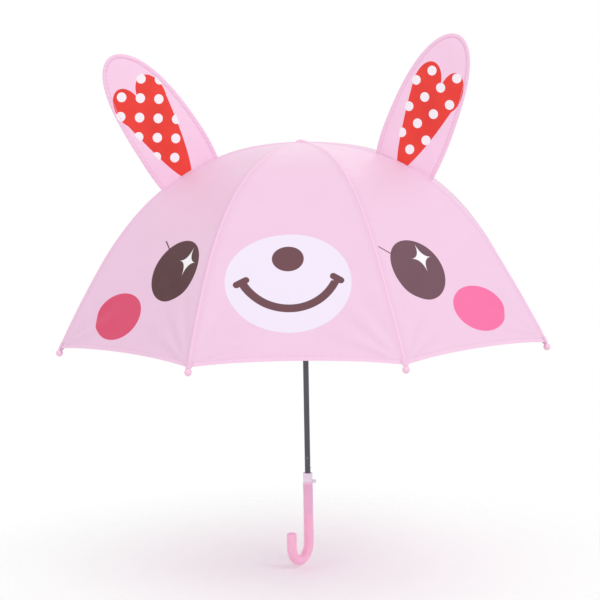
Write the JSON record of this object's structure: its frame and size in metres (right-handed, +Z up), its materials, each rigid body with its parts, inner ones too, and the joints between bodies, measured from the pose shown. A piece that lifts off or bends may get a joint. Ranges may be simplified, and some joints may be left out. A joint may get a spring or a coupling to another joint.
{
  "type": "children's umbrella",
  "caption": "Children's stick umbrella, open, with a pink rabbit-face canopy, two upright spotted ears, curved ribs, a sliding runner and a hooked handle with a button.",
  "frame": {"origin": "middle of the straight grip of the handle, on the axis of the shaft", "axes": "+Z up the shaft to the cap, -Y towards the front panel with the face, so the ears stand at -X and +X"},
  "size_m": [0.6708, 0.6708, 0.7505],
  "materials": {
    "canopy_cloth": "printed plain-weave polyester with a water-repellent finish",
    "ear_cloth": "double-layer printed polyester",
    "tip_plastic": "moulded",
    "rib_steel": "zinc-coated sheet steel",
    "wire_steel": "drawn wire",
    "shaft_steel": "dark grey electroplated tube",
    "white_plastic": "moulded nylon",
    "cap_plastic": "moulded",
    "spring_steel": "spring steel",
    "handle_plastic": "moulded",
    "band_plastic": "moulded",
    "collar_plastic": "moulded",
    "button_plastic": "moulded"
  },
  "bodies": {
    "stick": {"shaft": "shaft_steel", "crown": "white_plastic", "crown_wire": "wire_steel", "cap": "cap_plastic", "handle": "handle_plastic", "handle_end_plug": "handle_plastic", "handle_band": "band_plastic", "collar": "collar_plastic", "main_spring": "spring_steel", "spring_seat_pin": "wire_steel", "button_spring": "spring_steel"},
    "rib_1": {"rib_1": "rib_steel", "rib_tip_1": "tip_plastic"},
    "rib_2": {"rib_2": "rib_steel", "rib_tip_2": "tip_plastic"},
    "rib_3": {"rib_3": "rib_steel", "rib_tip_3": "tip_plastic"},
    "rib_4": {"rib_4": "rib_steel", "rib_tip_4": "tip_plastic"},
    "rib_5": {"rib_5": "rib_steel", "rib_tip_5": "tip_plastic"},
    "rib_6": {"rib_6": "rib_steel", "rib_tip_6": "tip_plastic"},
    "rib_7": {"rib_7": "rib_steel", "rib_tip_7": "tip_plastic"},
    "rib_8": {"rib_8": "rib_steel", "rib_tip_8": "tip_plastic"},
    "stretcher_1": {"stretcher_1": "rib_steel"},
    "stretcher_2": {"stretcher_2": "rib_steel"},
    "stretcher_3": {"stretcher_3": "rib_steel"},
    "stretcher_4": {"stretcher_4": "rib_steel"},
    "stretcher_5": {"stretcher_5": "rib_steel"},
    "stretcher_6": {"stretcher_6": "rib_steel"},
    "stretcher_7": {"stretcher_7": "rib_steel"},
    "stretcher_8": {"stretcher_8": "rib_steel"},
    "runner": {"runner": "white_plastic", "runner_wire": "wire_steel", "drive_pin": "wire_steel"},
    "canopy_1_left": {"canopy_1_left": "canopy_cloth"},
    "canopy_1_right": {"canopy_1_right": "canopy_cloth"},
    "canopy_2_left": {"canopy_2_left": "canopy_cloth"},
    "canopy_2_right": {"canopy_2_right": "canopy_cloth"},
    "canopy_3_left": {"canopy_3_left": "canopy_cloth"},
    "canopy_3_right": {"canopy_3_right": "canopy_cloth"},
    "canopy_4_left": {"canopy_4_left": "canopy_cloth"},
    "canopy_4_right": {"canopy_4_right": "canopy_cloth"},
    "canopy_5_left": {"canopy_5_left": "canopy_cloth"},
    "canopy_5_right": {"canopy_5_right": "canopy_cloth"},
    "canopy_6_left": {"canopy_6_left": "canopy_cloth"},
    "canopy_6_right": {"canopy_6_right": "canopy_cloth"},
    "canopy_7_left": {"canopy_7_left": "canopy_cloth"},
    "canopy_7_right": {"canopy_7_right": "canopy_cloth"},
    "canopy_8_left": {"canopy_8_left": "canopy_cloth"},
    "canopy_8_right": {"canopy_8_right": "canopy_cloth"},
    "button": {"push_button": "button_plastic", "catch": "spring_steel"},
    "ear_left": {"ear_left": "ear_cloth", "ear_left_wire": "wire_steel"},
    "ear_right": {"ear_right": "ear_cloth", "ear_right_wire": "wire_steel"}
  },
  "joints": [
    {"name": "fold", "type": "hinge", "parent": "stick", "child": "rib_1", "pos_m": [0.00344, -0.00831, 0.527], "axis": [0.9239, 0.3827, 0], "range_deg": [0, 51.4], "stiffness_Nm_per_rad": 0.8, "springref_deg": -74.48, "deforming": ["main_spring", "canopy_1_left", "canopy_1_right", "canopy_2_left", "canopy_2_right", "canopy_3_left", "canopy_3_right", "canopy_4_left", "canopy_4_right", "canopy_5_left", "canopy_5_right", "canopy_6_left", "canopy_6_right", "canopy_7_left", "canopy_7_right", "canopy_8_left", "canopy_8_right"]},
    {"name": "rib_2_fold", "type": "hinge", "parent": "stick", "child": "rib_2", "pos_m": [0.00831, -0.00344, 0.527], "axis": [0.3827, 0.9239, 0], "range_deg": [0, 51.6]},
    {"name": "rib_3_fold", "type": "hinge", "parent": "stick", "child": "rib_3", "pos_m": [0.00831, 0.00344, 0.527], "axis": [-0.3827, 0.9239, 0], "range_deg": [0, 51.6]},
    {"name": "rib_4_fold", "type": "hinge", "parent": "stick", "child": "rib_4", "pos_m": [0.00344, 0.00831, 0.527], "axis": [-0.9239, 0.3827, 0], "range_deg": [0, 51.6]},
    {"name": "rib_5_fold", "type": "hinge", "parent": "stick", "child": "rib_5", "pos_m": [-0.00344, 0.00831, 0.527], "axis": [-0.9239, -0.3827, 0], "range_deg": [0, 51.6]},
    {"name": "rib_6_fold", "type": "hinge", "parent": "stick", "child": "rib_6", "pos_m": [-0.00831, 0.00344, 0.527], "axis": [-0.3827, -0.9239, 0], "range_deg": [0, 51.6]},
    {"name": "rib_7_fold", "type": "hinge", "parent": "stick", "child": "rib_7", "pos_m": [-0.00831, -0.00344, 0.527], "axis": [0.3827, -0.9239, 0], "range_deg": [0, 51.6]},
    {"name": "rib_8_fold", "type": "hinge", "parent": "stick", "child": "rib_8", "pos_m": [-0.00344, -0.00831, 0.527], "axis": [0.9239, -0.3827, 0], "range_deg": [0, 51.6]},
    {"name": "stretcher_1_joint", "type": "hinge", "parent": "rib_1", "child": "stretcher_1", "pos_m": [0.07978, -0.1926, 0.46205], "axis": [0.9239, 0.3827, 0], "range_deg": [-103, 0]},
    {"name": "stretcher_2_joint", "type": "hinge", "parent": "rib_2", "child": "stretcher_2", "pos_m": [0.1926, -0.07978, 0.46205], "axis": [0.3827, 0.9239, 0], "range_deg": [-103, 0]},
    {"name": "stretcher_3_joint", "type": "hinge", "parent": "rib_3", "child": "stretcher_3", "pos_m": [0.1926, 0.07978, 0.46205], "axis": [-0.3827, 0.9239, 0], "range_deg": [-103, 0]},
    {"name": "stretcher_4_joint", "type": "hinge", "parent": "rib_4", "child": "stretcher_4", "pos_m": [0.07978, 0.1926, 0.46205], "axis": [-0.9239, 0.3827, 0], "range_deg": [-103, 0]},
    {"name": "stretcher_5_joint", "type": "hinge", "parent": "rib_5", "child": "stretcher_5", "pos_m": [-0.07978, 0.1926, 0.46205], "axis": [-0.9239, -0.3827, 0], "range_deg": [-103, 0]},
    {"name": "stretcher_6_joint", "type": "hinge", "parent": "rib_6", "child": "stretcher_6", "pos_m": [-0.1926, 0.07978, 0.46205], "axis": [-0.3827, -0.9239, 0], "range_deg": [-103, 0]},
    {"name": "stretcher_7_joint", "type": "hinge", "parent": "rib_7", "child": "stretcher_7", "pos_m": [-0.1926, -0.07978, 0.46205], "axis": [0.3827, -0.9239, 0], "range_deg": [-103, 0]},
    {"name": "stretcher_8_joint", "type": "hinge", "parent": "rib_8", "child": "stretcher_8", "pos_m": [-0.07978, -0.1926, 0.46205], "axis": [0.9239, -0.3827, 0], "range_deg": [-103, 0]},
    {"name": "runner_pivot", "type": "hinge", "parent": "stretcher_1", "child": "runner", "pos_m": [0.00344, -0.00831, 0.3971], "axis": [0.9239, 0.3827, 0], "range_deg": [0, 51.6]},
    {"name": "canopy_1_right_pleat", "type": "hinge", "parent": "rib_1", "child": "canopy_1_right", "pos_m": [0.00344, -0.00831, 0.527], "axis": [0.304, -0.7339, -0.6074], "range_deg": [0, 84]},
    {"name": "canopy_1_left_pleat", "type": "hinge", "parent": "rib_1", "child": "canopy_1_left", "pos_m": [0.00344, -0.00831, 0.527], "axis": [-0.304, 0.7339, 0.6074], "range_deg": [0, 84]},
    {"name": "canopy_2_right_pleat", "type": "hinge", "parent": "rib_2", "child": "canopy_2_right", "pos_m": [0.00831, -0.00344, 0.527], "axis": [0.7339, -0.304, -0.6074], "range_deg": [0, 84]},
    {"name": "canopy_2_left_pleat", "type": "hinge", "parent": "rib_2", "child": "canopy_2_left", "pos_m": [0.00831, -0.00344, 0.527], "axis": [-0.7339, 0.304, 0.6074], "range_deg": [0, 84]},
    {"name": "canopy_3_right_pleat", "type": "hinge", "parent": "rib_3", "child": "canopy_3_right", "pos_m": [0.00831, 0.00344, 0.527], "axis": [0.7339, 0.304, -0.6074], "range_deg": [0, 84]},
    {"name": "canopy_3_left_pleat", "type": "hinge", "parent": "rib_3", "child": "canopy_3_left", "pos_m": [0.00831, 0.00344, 0.527], "axis": [-0.7339, -0.304, 0.6074], "range_deg": [0, 84]},
    {"name": "canopy_4_right_pleat", "type": "hinge", "parent": "rib_4", "child": "canopy_4_right", "pos_m": [0.00344, 0.00831, 0.527], "axis": [0.304, 0.7339, -0.6074], "range_deg": [0, 84]},
    {"name": "canopy_4_left_pleat", "type": "hinge", "parent": "rib_4", "child": "canopy_4_left", "pos_m": [0.00344, 0.00831, 0.527], "axis": [-0.304, -0.7339, 0.6074], "range_deg": [0, 84]},
    {"name": "canopy_5_right_pleat", "type": "hinge", "parent": "rib_5", "child": "canopy_5_right", "pos_m": [-0.00344, 0.00831, 0.527], "axis": [-0.304, 0.7339, -0.6074], "range_deg": [0, 84]},
    {"name": "canopy_5_left_pleat", "type": "hinge", "parent": "rib_5", "child": "canopy_5_left", "pos_m": [-0.00344, 0.00831, 0.527], "axis": [0.304, -0.7339, 0.6074], "range_deg": [0, 84]},
    {"name": "canopy_6_right_pleat", "type": "hinge", "parent": "rib_6", "child": "canopy_6_right", "pos_m": [-0.00831, 0.00344, 0.527], "axis": [-0.7339, 0.304, -0.6074], "range_deg": [0, 84]},
    {"name": "canopy_6_left_pleat", "type": "hinge", "parent": "rib_6", "child": "canopy_6_left", "pos_m": [-0.00831, 0.00344, 0.527], "axis": [0.7339, -0.304, 0.6074], "range_deg": [0, 84]},
    {"name": "canopy_7_right_pleat", "type": "hinge", "parent": "rib_7", "child": "canopy_7_right", "pos_m": [-0.00831, -0.00344, 0.527], "axis": [-0.7339, -0.304, -0.6074], "range_deg": [0, 84]},
    {"name": "canopy_7_left_pleat", "type": "hinge", "parent": "rib_7", "child": "canopy_7_left", "pos_m": [-0.00831, -0.00344, 0.527], "axis": [0.7339, 0.304, 0.6074], "range_deg": [0, 84]},
    {"name": "canopy_8_right_pleat", "type": "hinge", "parent": "rib_8", "child": "canopy_8_right", "pos_m": [-0.00344, -0.00831, 0.527], "axis": [-0.304, -0.7339, -0.6074], "range_deg": [0, 84]},
    {"name": "canopy_8_left_pleat", "type": "hinge", "parent": "rib_8", "child": "canopy_8_left", "pos_m": [-0.00344, -0.00831, 0.527], "axis": [0.304, 0.7339, 0.6074], "range_deg": [0, 84]},
    {"name": "button_press", "type": "slide", "parent": "stick", "child": "button", "axis": [-1, 0, 0], "range_m": [0, 0.0015], "stiffness_N_per_m": 150, "springref_m": -0.002, "deforming": ["button_spring"]},
    {"name": "ear_left_flop", "type": "hinge", "parent": "rib_7", "child": "ear_left", "pos_m": [-0.1542, -0.06387, 0.49178], "axis": [-0.8138, -0.3371, -0.4734], "range_deg": [-35, 35], "stiffness_Nm_per_rad": 0.12},
    {"name": "ear_right_flop", "type": "hinge", "parent": "rib_2", "child": "ear_right", "pos_m": [0.1451, -0.0601, 0.49684], "axis": [0.8296, -0.3436, -0.4401], "range_deg": [-35, 35], "stiffness_Nm_per_rad": 0.12}
  ],
  "couplings": [
    {"joint": "rib_2_fold", "follows": "fold", "ratio": 1},
    {"joint": "rib_3_fold", "follows": "fold", "ratio": 1},
    {"joint": "rib_4_fold", "follows": "fold", "ratio": 1},
    {"joint": "rib_5_fold", "follows": "fold", "ratio": 1},
    {"joint": "rib_6_fold", "follows": "fold", "ratio": 1},
    {"joint": "rib_7_fold", "follows": "fold", "ratio": 1},
    {"joint": "rib_8_fold", "follows": "fold", "ratio": 1},
    {"joint": "stretcher_1_joint", "follows": "fold", "ratio": -2},
    {"joint": "stretcher_2_joint", "follows": "fold", "ratio": -2},
    {"joint": "stretcher_3_joint", "follows": "fold", "ratio": -2},
    {"joint": "stretcher_4_joint", "follows": "fold", "ratio": -2},
    {"joint": "stretcher_5_joint", "follows": "fold", "ratio": -2},
    {"joint": "stretcher_6_joint", "follows": "fold", "ratio": -2},
    {"joint": "stretcher_7_joint", "follows": "fold", "ratio": -2},
    {"joint": "stretcher_8_joint", "follows": "fold", "ratio": -2},
    {"joint": "runner_pivot", "follows": "fold", "ratio": 1},
    {"joint": "canopy_1_right_pleat", "follows": "fold", "ratio": 1.6342},
    {"joint": "canopy_1_left_pleat", "follows": "fold", "ratio": 1.6342},
    {"joint": "canopy_2_right_pleat", "follows": "fold", "ratio": 1.6342},
    {"joint": "canopy_2_left_pleat", "follows": "fold", "ratio": 1.6342},
    {"joint": "canopy_3_right_pleat", "follows": "fold", "ratio": 1.6342},
    {"joint": "canopy_3_left_pleat", "follows": "fold", "ratio": 1.6342},
    {"joint": "canopy_4_right_pleat", "follows": "fold", "ratio": 1.6342},
    {"joint": "canopy_4_left_pleat", "follows": "fold", "ratio": 1.6342},
    {"joint": "canopy_5_right_pleat", "follows": "fold", "ratio": 1.6342},
    {"joint": "canopy_5_left_pleat", "follows": "fold", "ratio": 1.6342},
    {"joint": "canopy_6_right_pleat", "follows": "fold", "ratio": 1.6342},
    {"joint": "canopy_6_left_pleat", "follows": "fold", "ratio": 1.6342},
    {"joint": "canopy_7_right_pleat", "follows": "fold", "ratio": 1.6342},
    {"joint": "canopy_7_left_pleat", "follows": "fold", "ratio": 1.6342},
    {"joint": "canopy_8_right_pleat", "follows": "fold", "ratio": 1.6342},
    {"joint": "canopy_8_left_pleat", "follows": "fold", "ratio": 1.6342}
  ]
}
